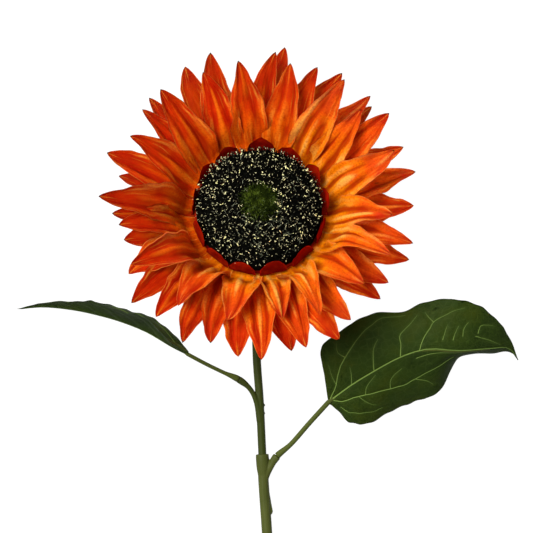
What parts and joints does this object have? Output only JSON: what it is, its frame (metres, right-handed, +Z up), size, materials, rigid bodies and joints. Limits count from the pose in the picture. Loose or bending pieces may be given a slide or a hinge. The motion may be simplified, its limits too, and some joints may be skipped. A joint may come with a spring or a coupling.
{
  "type": "artificial cut sunflower",
  "caption": "Artificial orange sunflower lying on its back: layered petals round a dark seed head with a green middle, on a cut stem with a broad green leaf on each side",
  "frame": {"origin": "on the surface that the flower lies on, under the centre of its bounding box", "axes": "+Z up, away from the surface and roughly the way the head faces; +Y from the stem's cut end towards the head; +X towards the broad right leaf, seen from above"},
  "size_m": [0.2821, 0.3227, 0.0884],
  "materials": {
    "stem_plastic": "satin",
    "leaf_fabric": "satin",
    "calyx_plastic": "matte",
    "petal_fabric": "satin",
    "lobe_fabric": "satin",
    "seed_pile": "matte",
    "tuft_pile": "matte"
  },
  "bodies": {
    "root": {"stem_lower": "stem_plastic", "stem_upper": "stem_plastic", "leaf_left": "leaf_fabric", "leaf_right": "leaf_fabric", "calyx": "calyx_plastic", "petals_back": "petal_fabric", "petals_middle": "petal_fabric", "petals_front": "petal_fabric", "petals_inner": "lobe_fabric", "disc": "seed_pile", "disc_centre": "tuft_pile"}
  },
  "joints": []
}
